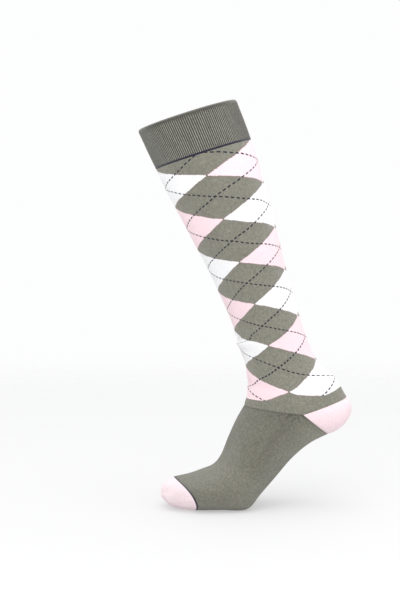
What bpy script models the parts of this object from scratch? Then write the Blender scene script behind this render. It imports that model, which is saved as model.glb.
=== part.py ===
"""Knee-high knitted sock, held in the shape of a leg that leans forward and stands on its toes.

The toes point to -X, the outer side of this left sock faces -Y, and the origin is the middle of
the cuff's opening. Each knitted area is a closed solid with the hollow of the sock inside it.

A knitted course is a ring that crosses the front line of the sock, both side lines and the back
line. Tables give these crossings as shares of the named sizes, and every solid is lofted through
the courses between its two ends.
"""
import math
from collections import namedtuple

import bmesh
import bpy
from mathutils import Matrix, Vector

# Lengths are in metres and angles in degrees
CUFF_HEIGHT = 0.047
CUFF_DEPTH = 0.1186
CUFF_WIDTH = 0.1060
LEG_LENGTH = 0.3055
LEG_LEAN = 20.9
CALF_DEPTH = 0.1145
CALF_WIDTH = 0.1020
ANKLE_DEPTH = 0.0766
ANKLE_WIDTH = 0.0680
HEEL_REACH = 0.0580
FOOT_LENGTH = 0.2520
BALL_DEPTH = 0.0638
BALL_WIDTH = 0.0900
TOE_TURN = 11.0
CUFF_STRIPE = 0.0022
TOE_STRIPE = 0.0020

# Cloth thickness, ribs, the space between neighbouring solids, and how much the sole is flattened
WALL = 0.0020
CUFF_WALL = 0.0028
RIM_ROUND = 0.0009
RIBS = 76
RIB_DEPTH = 0.0006
KNIT_GAP = 0.00036
SOLE_PRESS = 0.0018

# Points round a course, the distance between courses of a solid, and where shading breaks
POINTS_ROUND = 40
LEG_STEP = 0.0150
FOOT_STEP = 0.0125
TOE_STEP = 0.0052
WELD = 0.00002
SHARP_EDGE = 50.0

# Rows of the foot over which it turns outwards
TURNING_ROWS = 4

# Colours in linear light, and the roughness of the yarn
GREY = (0.19, 0.19, 0.155)
NAVY = (0.018, 0.016, 0.035)
PINK = (0.93, 0.72, 0.77)
ARGYLE_MEAN = (0.62, 0.56, 0.54)
YARN_ROUGHNESS = 0.9

LegRow = namedtuple("LegRow", "down bow depth width tilt dip slide crease egg square")
FootRow = namedtuple("FootRow", "fore drop depth width tilt dip slide crease egg square inward")
HeelRow = namedtuple("HeelRow", "swing reach")
Fold = namedtuple("Fold", "down angle height length spread")
Course = namedtuple(
    "Course",
    "front_x front_z side_x side_z back_x back_z width crease egg square inward turn",
)

# Leg: down is a share of LEG_LENGTH, bow, depth, dip and slide are shares of CALF_DEPTH
CALF_ROWS = (
    LegRow(0.000, 0.016, 1.000, 1.000, 17.4, 0.000, 0.0, 0.0, 0.06, 2.05),
    LegRow(0.085, 0.019, 0.978, 0.985, 15.0, 0.010, 0.0, 0.0, 0.08, 2.05),
    LegRow(0.164, 0.020, 0.930, 0.960, 13.8, 0.022, 0.0, 0.0, 0.10, 2.05),
    LegRow(0.251, 0.026, 0.882, 0.925, 14.2, 0.026, 0.0, 0.0, 0.11, 2.05),
    LegRow(0.339, 0.026, 0.826, 0.880, 14.3, 0.026, 0.0, 0.0, 0.12, 2.05),
    LegRow(0.421, 0.028, 0.771, 0.820, 15.0, 0.024, 0.0, 0.0, 0.11, 2.05),
    LegRow(0.505, 0.023, 0.722, 0.770, 15.6, 0.020, 0.0, 0.0, 0.10, 2.05),
    LegRow(0.591, 0.019, 0.690, 0.725, 14.2, 0.016, 0.0, 0.0, 0.08, 2.05),
)

# Lower leg: bow, depth, dip and slide are shares of ANKLE_DEPTH, and width of ANKLE_WIDTH
ANKLE_ROWS = (
    LegRow(0.676, 0.018, 1.000, 1.030, 11.0, 0.030, 0.00, 0.0, 0.05, 2.08),
    LegRow(0.753, -0.007, 1.036, 1.000, 8.0, 0.036, 0.00, 0.0, 0.02, 2.10),
    LegRow(0.839, 0.003, 1.065, 0.985, 4.8, 0.055, 0.00, 0.0, -0.02, 2.10),
    LegRow(0.884, 0.012, 1.170, 0.990, 5.6, 0.085, 0.01, 0.2, -0.03, 2.10),
    LegRow(0.924, 0.043, 1.316, 0.995, 7.0, 0.115, 0.02, 0.4, -0.04, 2.10),
    LegRow(1.000, 0.000, 1.550, 1.015, 4.8, 0.165, 0.08, 1.0, -0.04, 2.10),
)

# Foot: fore and drop are shares of FOOT_LENGTH, depth, dip and slide of BALL_DEPTH,
# width and inward of BALL_WIDTH
FOOT_ROWS = (
    FootRow(0.042, 0.085, 1.607, 0.767, -18.9, -0.232, 0.219, 1.0, -0.04, 2.10, 0.000),
    FootRow(0.103, 0.139, 1.404, 0.790, -17.5, -0.110, 0.100, 0.4, 0.02, 2.15, 0.000),
    FootRow(0.164, 0.213, 1.213, 0.825, -16.2, -0.040, 0.030, 0.0, 0.08, 2.20, 0.000),
    FootRow(0.222, 0.294, 1.027, 0.880, -22.1, 0.000, 0.000, 0.0, 0.12, 2.30, 0.000),
    FootRow(0.275, 0.348, 0.939, 0.945, -31.3, 0.000, 0.000, 0.0, 0.14, 2.40, 0.000),
    FootRow(0.336, 0.394, 1.000, 1.000, -42.9, -0.020, 0.000, 0.0, 0.14, 2.45, 0.005),
    FootRow(0.427, 0.406, 0.792, 0.970, -49.8, -0.040, 0.000, 0.0, 0.10, 2.45, 0.015),
    FootRow(0.521, 0.412, 0.622, 0.890, -61.2, -0.060, 0.000, 0.0, 0.06, 2.40, 0.030),
)

# Toe cap, continued from the foot's last row
TOE_ROWS = (
    FootRow(0.556, 0.416, 0.540, 0.800, -63.0, -0.050, 0.000, 0.0, 0.04, 2.35, 0.040),
    FootRow(0.584, 0.422, 0.430, 0.655, -65.0, -0.030, 0.000, 0.0, 0.02, 2.30, 0.050),
    FootRow(0.606, 0.427, 0.270, 0.430, -68.0, -0.010, 0.000, 0.0, 0.00, 2.20, 0.060),
    FootRow(0.621, 0.429, 0.000, 0.000, -72.0, 0.000, 0.000, 0.0, 0.00, 2.00, 0.065),
)

# Heel: swing is the share of the wedge between its two edges, reach a share of HEEL_REACH
HEEL_ROWS = (
    HeelRow(0.10, 0.985),
    HeelRow(0.24, 1.000),
    HeelRow(0.40, 0.965),
    HeelRow(0.58, 0.900),
    HeelRow(0.78, 0.805),
)

# Shallow folds: down and length are shares of LEG_LENGTH, angle and spread are degrees
FOLDS = (
    Fold(0.722, 165.0, -0.0012, 0.014, 40.0),
    Fold(0.748, 150.0, 0.0009, 0.012, 34.0),
    Fold(0.965, 170.0, -0.0010, 0.016, 36.0),
)


def leg_course(row, depth_size, width_size):
    """Course of the leg, measured from the middle of the ankle course."""
    lean = math.radians(LEG_LEAN)
    up = (1.0 - row.down) * LEG_LENGTH
    bow = row.bow * depth_size
    middle = Vector((bow * math.cos(lean) - up * math.sin(lean), bow * math.sin(lean) + up * math.cos(lean)))
    return course(row, middle, depth_size, width_size, 0.0, 0.0)


def cuff_course():
    """Course of the rim, straight up the leg from the first calf row."""
    first = CALF_ROWS[0]
    row = first._replace(
        down=-CUFF_HEIGHT / LEG_LENGTH,
        bow=0.0,
        depth=CUFF_DEPTH / CALF_DEPTH,
        width=CUFF_WIDTH / CALF_WIDTH,
    )
    return leg_course(row, CALF_DEPTH, CALF_WIDTH)


def foot_course(row, turn):
    """Course of the foot, measured from the middle of the ankle course."""
    middle = Vector((-row.fore, -row.drop)) * FOOT_LENGTH
    return course(row, middle, BALL_DEPTH, BALL_WIDTH, row.inward * BALL_WIDTH, turn)


def course(row, middle, depth_size, width_size, inward, turn):
    """Crossings of one course with the front, side and back lines, in the plane of the leg."""
    tilt = math.radians(row.tilt)
    along = Vector((math.cos(tilt), math.sin(tilt)))
    below = Vector((math.sin(tilt), -math.cos(tilt)))
    half = along * row.depth * depth_size / 2
    side = middle + along * row.slide * depth_size + below * row.dip * depth_size
    front = middle - half
    back = middle + half
    return Course(*front, *side, *back, row.width * width_size, row.crease, row.egg, row.square, inward, turn)


def middle_of(item):
    """Point halfway between the front and the back of a course."""
    return Vector((item.front_x + item.back_x, item.front_z + item.back_z)) / 2


class Run:
    """Courses in order, with the distance along their middles, read at any distance."""

    def __init__(self, courses, ground=-math.inf):
        self.courses = courses
        self.ground = ground
        self.at = [0.0]
        for before, after in zip(courses, courses[1:]):
            self.at.append(self.at[-1] + (middle_of(after) - middle_of(before)).length)

    def slope(self, i):
        """Change of each value per metre at one of the given courses."""
        low, high = max(i - 1, 0), min(i + 1, len(self.at) - 1)
        span = self.at[high] - self.at[low]
        return [(b - a) / span for a, b in zip(self.courses[low], self.courses[high])]

    def read(self, distance):
        """Course at a distance along the run, on a smooth curve through the given ones."""
        i = 0
        while i < len(self.at) - 2 and distance > self.at[i + 1]:
            i += 1
        span = self.at[i + 1] - self.at[i]
        t = (distance - self.at[i]) / span
        ease = (2 * t**3 - 3 * t**2 + 1, t**3 - 2 * t**2 + t, 3 * t**2 - 2 * t**3, t**3 - t**2)
        values = []
        for a, m, b, n in zip(self.courses[i], self.slope(i), self.courses[i + 1], self.slope(i + 1)):
            values.append(ease[0] * a + ease[1] * span * m + ease[2] * b + ease[3] * span * n)
        return Course(*values)


def upper_run():
    """Courses from the rim down to the ankle."""
    courses = [cuff_course()]
    courses += [leg_course(row, CALF_DEPTH, CALF_WIDTH) for row in CALF_ROWS]
    courses += [leg_course(row, ANKLE_DEPTH, ANKLE_WIDTH) for row in ANKLE_ROWS]
    return Run(courses)


def lower_run():
    """Courses from the ankle down to the tip of the toes, turned outwards step by step."""
    rows = FOOT_ROWS + TOE_ROWS
    turns = [min(i / TURNING_ROWS, 1.0) * TOE_TURN for i in range(len(rows))]
    courses = [foot_course(row, turn) for row, turn in zip(rows, turns)]
    return Run(courses, min(item.back_z for item in courses) + SOLE_PRESS)


def signed_power(value, power):
    """Power of a number that keeps its sign."""
    return math.copysign(abs(value) ** power, value)


def fold_height(distance, angle):
    """How far the folds of the leg raise the cloth, at a distance from the rim."""
    height = 0.0
    for fold in FOLDS:
        down = (distance - CUFF_HEIGHT - fold.down * LEG_LENGTH) / (fold.length * LEG_LENGTH)
        turn = (abs(angle) - fold.angle) / fold.spread
        height += fold.height * math.exp(-down**2 - turn**2)
    return height


def on_course(item, angle, inset, ground=-math.inf):
    """Point of a course: 0 degrees is the back, 90 the outer side and 180 the front.

    The sole is pressed flat where it would go below the ground.
    """
    cos, sin = math.cos(math.radians(angle)), math.sin(math.radians(angle))
    reach = signed_power(cos, 2 / item.square)
    spread = signed_power(sin, 2 / item.square)
    front = Vector((item.front_x, item.front_z))
    side = Vector((item.side_x, item.side_z))
    back = Vector((item.back_x, item.back_z))
    depth = (back - front).length
    shrink = (back - front) * min(inset / depth, 0.5) if depth > 0 else Vector((0, 0))
    front, back = front + shrink, back - shrink
    middle = (front + back) / 2
    end = back if reach > 0 else front
    sharp = side + (end - side) * abs(reach)
    smooth = middle + (back - front) / 2 * reach + (side - middle) * (1 - reach**2)
    flat = smooth.lerp(sharp, max(0.0, min(item.crease, 1.0)))
    half_width = max(item.width / 2 - inset, 0.0)
    across = -half_width * spread * (1 + item.egg * reach) + item.inward
    point = Vector((flat.x, across, max(flat.y, ground + inset)))
    return Matrix.Rotation(math.radians(item.turn), 3, "Z") @ point


def move_ring(verts, points):
    """Put the corners of a ring on their places."""
    for vert, point in zip(verts, points):
        vert.co = point


def first_ring(bm, points):
    """Closed ring of corners, in order."""
    made = bmesh.ops.create_circle(bm, cap_ends=False, radius=1.0, segments=len(points))
    verts = made["verts"]
    move_ring(verts, points)
    return verts, list({edge for vert in verts for edge in vert.link_edges})


def next_ring(bm, verts, edges, points):
    """Extrude the last ring and put the new one on its places."""
    made = bmesh.ops.extrude_edge_only(bm, edges=edges)["geom"]
    new_edges = [item for item in made if isinstance(item, bmesh.types.BMEdge)]
    new_verts = {item for item in made if isinstance(item, bmesh.types.BMVert)}
    ordered = []
    for vert in verts:
        pairs = [edge.other_vert(vert) for edge in vert.link_edges]
        ordered.append(next(other for other in pairs if other in new_verts))
    move_ring(ordered, points)
    ring = set(ordered)
    return ordered, [edge for edge in new_edges if edge.verts[0] in ring and edge.verts[1] in ring]


def loft(name, rings, colour, joined):
    """Closed body through rings of points. The last ring meets the first if joined is set."""
    bm = bmesh.new()
    verts, edges = first_ring(bm, rings[0])
    first_edges = list(edges)
    for points in rings[1:]:
        verts, edges = next_ring(bm, verts, edges, points)
    if joined:
        bmesh.ops.bridge_loops(bm, edges=first_edges + edges)
    bmesh.ops.remove_doubles(bm, verts=bm.verts, dist=WELD)
    bmesh.ops.recalc_face_normals(bm, faces=bm.faces)
    mesh = bpy.data.meshes.new(name)
    bm.to_mesh(mesh)
    bm.free()
    mesh.shade_smooth()
    mesh.set_sharp_from_angle(angle=math.radians(SHARP_EDGE))
    mesh.materials.append(knit(name, colour))
    body = bpy.data.objects.new(name, mesh)
    bpy.context.scene.collection.objects.link(body)
    return body


def knit(name, colour):
    """Dull cloth of one colour."""
    material = bpy.data.materials.new(name + "_knit")
    material.use_nodes = True
    shader = material.node_tree.nodes["Principled BSDF"]
    shader.inputs["Base Color"].default_value = (*colour, 1.0)
    shader.inputs["Roughness"].default_value = YARN_ROUGHNESS
    shader.inputs["Metallic"].default_value = 0.0
    material.diffuse_color = (*colour, 1.0)
    return material


def stations(start, end, step):
    """Evenly spaced distances from start to end, no further apart than step."""
    count = max(1, math.ceil((end - start) / step))
    return [start + (end - start) * i / count for i in range(count + 1)]


def ring_at(run, distance, inset, count=POINTS_ROUND, folded=False, rib=0.0):
    """Points of the course at a distance, set in from the outer face, with every second one lower."""
    item = run.read(distance)
    points = []
    for i in range(count):
        angle = 360.0 * i / count
        if angle > 180:
            angle -= 360
        height = fold_height(distance, angle) if folded else 0.0
        points.append(on_course(item, angle, inset - height + rib * (i % 2), run.ground))
    return points


def tube(name, run, start, end, step, wall, colour, folded=False):
    """Knitted tube between two distances along a run."""
    places = stations(start, end, step)
    rings = [ring_at(run, place, 0.0, folded=folded) for place in places]
    rings += [ring_at(run, place, wall, folded=folded) for place in reversed(places)]
    return loft(name, rings, colour, joined=True)


def cuff(run, colour):
    """Ribbed band with a rounded rim. Its ribs run down to the stripe."""
    count = 2 * RIBS
    low = CUFF_HEIGHT - KNIT_GAP / 2
    rings = []
    for place in (RIM_ROUND, CUFF_HEIGHT / 2, low):
        rings.append(ring_at(run, place, 0.0, count, rib=RIB_DEPTH))
    for place in (low, RIM_ROUND):
        rings.append(ring_at(run, place, CUFF_WALL, count))
    rings.append(ring_at(run, 0.0, CUFF_WALL - RIM_ROUND, count))
    rings.append(ring_at(run, 0.0, RIM_ROUND, count))
    return loft("cuff", rings, colour, joined=True)


def toe_cap(run, start, colour):
    """Closed cap from the toe stripe to the tip."""
    tip = run.at[-1]
    outer = stations(start, tip, TOE_STEP)
    inner = stations(start, tip - WALL, TOE_STEP)
    rings = [ring_at(run, place, 0.0) for place in reversed(outer)]
    rings += [ring_at(run, place, WALL) for place in inner[:-1]]
    last = run.read(inner[-1])
    pole = on_course(last, 0.0, last.width)
    rings.append([pole] * POINTS_ROUND)
    return loft("toe", rings, colour, joined=False)


def heel_courses(upper, lower):
    """Courses of the heel, which fan out behind the side points of the ankle course."""
    side = Vector((upper.side_x, upper.side_z))
    edges = [Vector((item.back_x, item.back_z)) - side for item in (upper, lower)]
    swings = [math.atan2(edge.y, edge.x) for edge in edges]
    reaches = [edge.length for edge in edges]
    rows = [(0.0, reaches[0])]
    rows += [(row.swing, row.reach * HEEL_REACH) for row in HEEL_ROWS]
    rows.append((1.0, reaches[1]))
    half_wedge = (swings[0] - swings[1]) / 2
    middle_swing = (swings[0] + swings[1]) / 2
    back_off = Vector((math.cos(middle_swing), math.sin(middle_swing))) * KNIT_GAP / 2 / math.sin(half_wedge)
    courses = []
    for share, reach in rows:
        swing = swings[0] + (swings[1] - swings[0]) * share
        back = side + Vector((math.cos(swing), math.sin(swing))) * reach + back_off
        start = side + back_off
        courses.append(upper._replace(side_x=start.x, side_z=start.y, back_x=back.x, back_z=back.y))
    return courses


def heel(upper, lower, colour):
    """Wedge of knitting behind the ankle, which narrows to a point at each side."""
    courses = heel_courses(upper, lower)
    count = POINTS_ROUND // 2
    loops = []
    for i in range(count + 1):
        angle = 90.0 - 180.0 * i / count
        loop = [on_course(item, angle, 0.0) for item in courses]
        loop += [on_course(item, angle, WALL) for item in reversed(courses)]
        loops.append(loop)
    return loft("heel", loops, colour, joined=False)


def clear_scene():
    """Remove what the file opened with."""
    for item in list(bpy.data.objects):
        bpy.data.objects.remove(item, do_unlink=True)


def build():
    """Model the sock and put the middle of the cuff's opening at the origin."""
    clear_scene()
    upper, lower = upper_run(), lower_run()
    half = KNIT_GAP / 2
    stripe_end = CUFF_HEIGHT + CUFF_STRIPE
    ankle = upper.at[-1]
    toe_start = lower.at[len(FOOT_ROWS) - 1]
    parts = [
        cuff(upper, GREY),
        tube("cuff_stripe", upper, CUFF_HEIGHT + half, stripe_end - half, LEG_STEP, WALL, NAVY),
        tube("leg", upper, stripe_end + half, ankle - half, LEG_STEP, WALL, ARGYLE_MEAN, folded=True),
        tube("foot", lower, half, toe_start - TOE_STRIPE - half, FOOT_STEP, WALL, GREY),
        heel(upper.courses[-1], lower.courses[0], PINK),
        tube("toe_stripe", lower, toe_start - TOE_STRIPE + half, toe_start - half, FOOT_STEP, WALL, NAVY),
        toe_cap(lower, toe_start + half, PINK),
    ]
    rim = middle_of(upper.courses[0])
    for part in parts:
        part.data.transform(Matrix.Translation((-rim.x, 0.0, -rim.y)))


build()
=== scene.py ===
"""Knee-high argyle sock in its worn shape, with its knitting, ribs and studio.

The sock's courses are rings that cross its front line, both side lines and its back line. Tables
give these crossings as shares of the named sizes. Each knitted area is a grid laid round the sock,
out along its outer face and back along its inner face, with a UV map that counts the knitting:
a unit of U is a quarter of the needles, and a unit of V is half the height of an argyle diamond.
"""
import math
from collections import namedtuple

import bmesh
import bpy
from bpy.props import FloatProperty, FloatVectorProperty, IntProperty, PointerProperty
from mathutils import Matrix, Vector, noise


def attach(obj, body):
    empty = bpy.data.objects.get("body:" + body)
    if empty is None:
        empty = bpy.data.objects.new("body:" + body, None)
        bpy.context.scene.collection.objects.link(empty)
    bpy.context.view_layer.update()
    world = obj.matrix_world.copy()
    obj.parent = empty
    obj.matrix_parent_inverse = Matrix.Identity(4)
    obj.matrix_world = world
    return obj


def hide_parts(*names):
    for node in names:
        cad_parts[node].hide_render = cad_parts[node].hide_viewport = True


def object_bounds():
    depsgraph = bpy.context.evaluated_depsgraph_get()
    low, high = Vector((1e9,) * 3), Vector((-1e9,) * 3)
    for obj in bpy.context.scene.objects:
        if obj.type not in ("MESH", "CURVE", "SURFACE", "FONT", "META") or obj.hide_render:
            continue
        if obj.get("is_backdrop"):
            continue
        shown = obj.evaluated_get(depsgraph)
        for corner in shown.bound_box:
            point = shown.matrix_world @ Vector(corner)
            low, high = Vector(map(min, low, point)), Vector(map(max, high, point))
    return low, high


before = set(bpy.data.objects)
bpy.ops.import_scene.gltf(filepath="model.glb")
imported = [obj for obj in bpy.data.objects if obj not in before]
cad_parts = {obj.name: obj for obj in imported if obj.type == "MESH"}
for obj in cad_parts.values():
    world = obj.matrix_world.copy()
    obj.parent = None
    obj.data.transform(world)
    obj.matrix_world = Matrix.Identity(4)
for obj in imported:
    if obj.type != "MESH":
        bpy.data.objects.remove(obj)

bl_info = {
    "name": "Argyle Knee Sock",
    "version": (1, 0, 0),
    "blender": (4, 5, 0),
    "location": "View3D > Sidebar > Sock",
    "description": "Models a knitted knee-high sock with a ribbed cuff, argyle leg, heel and toe",
    "category": "Add Mesh",
}

LegRow = namedtuple("LegRow", "down bow depth width tilt dip slide crease egg square")
FootRow = namedtuple("FootRow", "fore drop depth width tilt dip slide crease egg square inward")
HeelRow = namedtuple("HeelRow", "swing reach")
Fold = namedtuple("Fold", "down angle height length spread")
PatternRow = namedtuple("PatternRow", "row down back outer front")
Course = namedtuple(
    "Course",
    "front_x front_z side_x side_z back_x back_z width crease egg square inward turn",
)

# Leg: down is a share of the leg's length, bow, depth, dip and slide are shares of the calf's depth
CALF_ROWS = (
    LegRow(0.000, 0.016, 1.000, 1.000, 17.4, 0.000, 0.0, 0.0, 0.06, 2.05),
    LegRow(0.085, 0.019, 0.978, 0.985, 15.0, 0.010, 0.0, 0.0, 0.08, 2.05),
    LegRow(0.164, 0.020, 0.930, 0.960, 13.8, 0.022, 0.0, 0.0, 0.10, 2.05),
    LegRow(0.251, 0.026, 0.882, 0.925, 14.2, 0.026, 0.0, 0.0, 0.11, 2.05),
    LegRow(0.339, 0.026, 0.826, 0.880, 14.3, 0.026, 0.0, 0.0, 0.12, 2.05),
    LegRow(0.421, 0.028, 0.771, 0.820, 15.0, 0.024, 0.0, 0.0, 0.11, 2.05),
    LegRow(0.505, 0.023, 0.722, 0.770, 15.6, 0.020, 0.0, 0.0, 0.10, 2.05),
    LegRow(0.591, 0.019, 0.690, 0.725, 14.2, 0.016, 0.0, 0.0, 0.08, 2.05),
)

# Lower leg: bow, depth, dip and slide are shares of the ankle's depth, and width of its width
ANKLE_ROWS = (
    LegRow(0.676, 0.018, 1.000, 1.030, 11.0, 0.030, 0.00, 0.0, 0.05, 2.08),
    LegRow(0.753, -0.007, 1.036, 1.000, 8.0, 0.036, 0.00, 0.0, 0.02, 2.10),
    LegRow(0.839, 0.003, 1.065, 0.985, 4.8, 0.055, 0.00, 0.0, -0.02, 2.10),
    LegRow(0.884, 0.012, 1.170, 0.990, 5.6, 0.085, 0.01, 0.2, -0.03, 2.10),
    LegRow(0.924, 0.043, 1.316, 0.995, 7.0, 0.115, 0.02, 0.4, -0.04, 2.10),
    LegRow(1.000, 0.000, 1.550, 1.015, 4.8, 0.165, 0.08, 1.0, -0.04, 2.10),
)

# Foot: fore and drop are shares of the foot's length, depth, dip and slide of the ball's depth,
# width and inward of the ball's width
FOOT_ROWS = (
    FootRow(0.042, 0.085, 1.607, 0.767, -18.9, -0.232, 0.219, 1.0, -0.04, 2.10, 0.000),
    FootRow(0.103, 0.139, 1.404, 0.790, -17.5, -0.110, 0.100, 0.4, 0.02, 2.15, 0.000),
    FootRow(0.164, 0.213, 1.213, 0.825, -16.2, -0.040, 0.030, 0.0, 0.08, 2.20, 0.000),
    FootRow(0.222, 0.294, 1.027, 0.880, -22.1, 0.000, 0.000, 0.0, 0.12, 2.30, 0.000),
    FootRow(0.275, 0.348, 0.939, 0.945, -31.3, 0.000, 0.000, 0.0, 0.14, 2.40, 0.000),
    FootRow(0.336, 0.394, 1.000, 1.000, -42.9, -0.020, 0.000, 0.0, 0.14, 2.45, 0.005),
    FootRow(0.427, 0.406, 0.792, 0.970, -49.8, -0.040, 0.000, 0.0, 0.10, 2.45, 0.015),
    FootRow(0.521, 0.412, 0.622, 0.890, -61.2, -0.060, 0.000, 0.0, 0.06, 2.40, 0.030),
)

# Toe cap, continued from the foot's last row
TOE_ROWS = (
    FootRow(0.556, 0.416, 0.540, 0.800, -63.0, -0.050, 0.000, 0.0, 0.04, 2.35, 0.040),
    FootRow(0.584, 0.422, 0.430, 0.655, -65.0, -0.030, 0.000, 0.0, 0.02, 2.30, 0.050),
    FootRow(0.606, 0.427, 0.270, 0.430, -68.0, -0.010, 0.000, 0.0, 0.00, 2.20, 0.060),
    FootRow(0.621, 0.429, 0.000, 0.000, -72.0, 0.000, 0.000, 0.0, 0.00, 2.00, 0.065),
)

# Heel: swing is the share of the wedge between its two edges, reach a share of the heel's reach
HEEL_ROWS = (
    HeelRow(0.10, 0.985),
    HeelRow(0.24, 1.000),
    HeelRow(0.40, 0.965),
    HeelRow(0.58, 0.900),
    HeelRow(0.78, 0.805),
)

# Shallow folds: down and length are shares of the leg's length, angle and spread are degrees
FOLDS = (
    Fold(0.722, 165.0, -0.0012, 0.014, 40.0),
    Fold(0.748, 150.0, 0.0009, 0.012, 34.0),
    Fold(0.965, 170.0, -0.0010, 0.016, 36.0),
)

# Small creases of the cloth alone, in the same units
CREASES = (
    Fold(0.724, 116.0, -0.0009, 0.007, 16.0),
    Fold(0.738, 126.0, 0.0007, 0.006, 18.0),
    Fold(0.730, 160.0, -0.0012, 0.007, 18.0),
    Fold(0.708, 180.0, 0.0009, 0.005, 30.0),
    Fold(0.748, 178.0, 0.0008, 0.005, 26.0),
    Fold(0.775, 158.0, -0.0008, 0.010, 24.0),
    Fold(0.480, 172.0, -0.0006, 0.010, 22.0),
    Fold(0.905, 168.0, -0.0007, 0.012, 28.0),
)

# Argyle: where each row of half diamonds lies down the leg, and how far round the sock, as a share
# from its back line, the diamonds' corners at the back, the outer side and the front lie
PATTERN_ROWS = (
    PatternRow(0, 0.000, 0.012, 0.270, 0.487),
    PatternRow(1, 0.085, 0.028, 0.272, 0.487),
    PatternRow(2, 0.164, 0.045, 0.273, 0.487),
    PatternRow(3, 0.251, 0.054, 0.277, 0.488),
    PatternRow(4, 0.339, 0.059, 0.279, 0.489),
    PatternRow(5, 0.421, 0.059, 0.282, 0.490),
    PatternRow(6, 0.505, 0.059, 0.284, 0.490),
    PatternRow(7, 0.591, 0.059, 0.284, 0.490),
    PatternRow(8, 0.676, 0.058, 0.281, 0.490),
    PatternRow(9, 0.753, 0.048, 0.274, 0.490),
    PatternRow(10, 0.839, 0.036, 0.268, 0.490),
    PatternRow(11, 0.924, 0.012, 0.268, 0.490),
    PatternRow(12, 1.000, 0.010, 0.268, 0.490),
)
ARGYLE_END = 11.5

# How far the rows hang between the corners, in rows, and where that begins to fade down the leg
FRONT_SWAY = 0.15
BACK_SWAY = -0.04
SWAY_FADE = 8.0

# How the cloth gives: rows taken up per metre of fold, and the drift of rows and of height
TAKE_UP = 110.0
DRIFT_ROWS = 0.03
DRIFT_COUNT = 45.0
WAVE_HEIGHT = 0.0004
WAVE_COUNT = 30.0
WAVE_FADE = 0.03

# Edges of the pieces: rounding of each, and how far the cuff's rim curls in over which height
EDGE_ROUND = 0.0006
CURL_REACH = 0.0018
CURL_HEIGHT = 0.0045

# Counts that the grids and the knitting share
TURNING_ROWS = 4
ROUND_COLUMNS = 240
RIB_COLUMNS = 8
NEEDLES_PER_QUARTER = 60
COURSES_PER_ROW = 28
DASHES_PER_QUARTER = 12
DASH_SHARE = 0.62
DASH_WIDTH = 0.064
SHARP_EDGE = math.radians(60)
WELD = 0.000001

# Longest steps between rows of points, and the rows across the heel and round the cuff's rim
TUBE_STEP = 0.0016
RIB_STEP = 0.0015
RIM_STEP = 0.0005
CUFF_INNER_STEP = 0.007
TOE_STEP = 0.001
HEEL_COURSES = 40
RIM_ROWS = 6

# Yarn: spots of soft grain and of wider patches per metre, and how each, and the painted shade in the gaps
# between the loops, follows the flecks' strength
GRAIN_COUNT = 430.0
PATCH_COUNT = 38.0
GRAIN_SHARE = 5.0
PATCH_SHARE = 1.2
GAP_SHADE_SHARE = 1.6

# Depth of the relief of fine, thick, ribbed and reverse knitting, in metres
FINE_RELIEF = 0.00018
THICK_RELIEF = 0.00026
RIB_RELIEF = 0.0001
REVERSE_RELIEF = 0.0003

# Floor: its radius, where it begins and ends to fade, and its gap below the sock
FLOOR_RADIUS = 2.4
FADE_START = 0.8
FADE_END = 1.9
FLOOR_GAP = 0.0003

# Lights: place and target
KEY_LIGHT = ((-0.35, -1.7, 0.75), (0.05, 0.0, -0.25))
TOP_LIGHT = ((0.15, -0.1, 1.1), (0.05, 0.0, -0.25))
FILL_LIGHT = ((1.2, -1.0, -0.30), (0.10, 0.0, -0.30))


def length(name, description, default):
    """Length that a user may change, in metres."""
    return FloatProperty(name=name, description=description, default=default, unit="LENGTH", precision=4)


def colour(name, description, default):
    """Colour that a user may change, in linear light."""
    return FloatVectorProperty(
        name=name, description=description, default=default, size=3, min=0.0, max=1.0, subtype="COLOR"
    )


class SockSizes(bpy.types.PropertyGroup):
    """Sizes of the sock in its worn shape."""

    cuff_height: length("Cuff height", "Height of the ribbed band", 0.047)
    cuff_depth: length("Cuff depth", "Front to back of the opening", 0.1186)
    cuff_width: length("Cuff width", "Side to side of the opening", 0.1060)
    leg_length: length("Leg length", "From the cuff's stripe to the ankle", 0.3055)
    leg_lean: FloatProperty(name="Leg lean", description="Forward lean", default=20.9, min=-45.0, max=45.0)
    calf_depth: length("Calf depth", "Front to back of the calf", 0.1145)
    calf_width: length("Calf width", "Side to side of the calf", 0.1020)
    ankle_depth: length("Ankle depth", "Front to back of the ankle", 0.0766)
    ankle_width: length("Ankle width", "Side to side of the ankle", 0.0680)
    heel_reach: length("Heel reach", "From the side points to the back of the heel", 0.0580)
    foot_length: length("Foot length", "Length of the foot", 0.2520)
    ball_depth: length("Ball depth", "Height of the foot at its ball", 0.0638)
    ball_width: length("Ball width", "Width of the foot at its ball", 0.0900)
    toe_turn: FloatProperty(name="Toe turn", description="Outward turn", default=11.0, min=-30.0, max=30.0)
    cuff_stripe: length("Cuff stripe", "Height of the stripe under the cuff", 0.0022)
    toe_stripe: length("Toe stripe", "Width of the stripe before the toes", 0.0020)
    wall: length("Wall", "Thickness of the plain knitting", 0.0020)
    cuff_wall: length("Cuff wall", "Thickness of the doubled cuff", 0.0028)
    rib_depth: length("Rib depth", "How far the ribs stand out", 0.0006)
    sole_press: length("Sole press", "How much the sole is flattened", 0.0018)
    ribs: IntProperty(name="Ribs", description="Ribs round the cuff", default=152, min=8, max=400)


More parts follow.
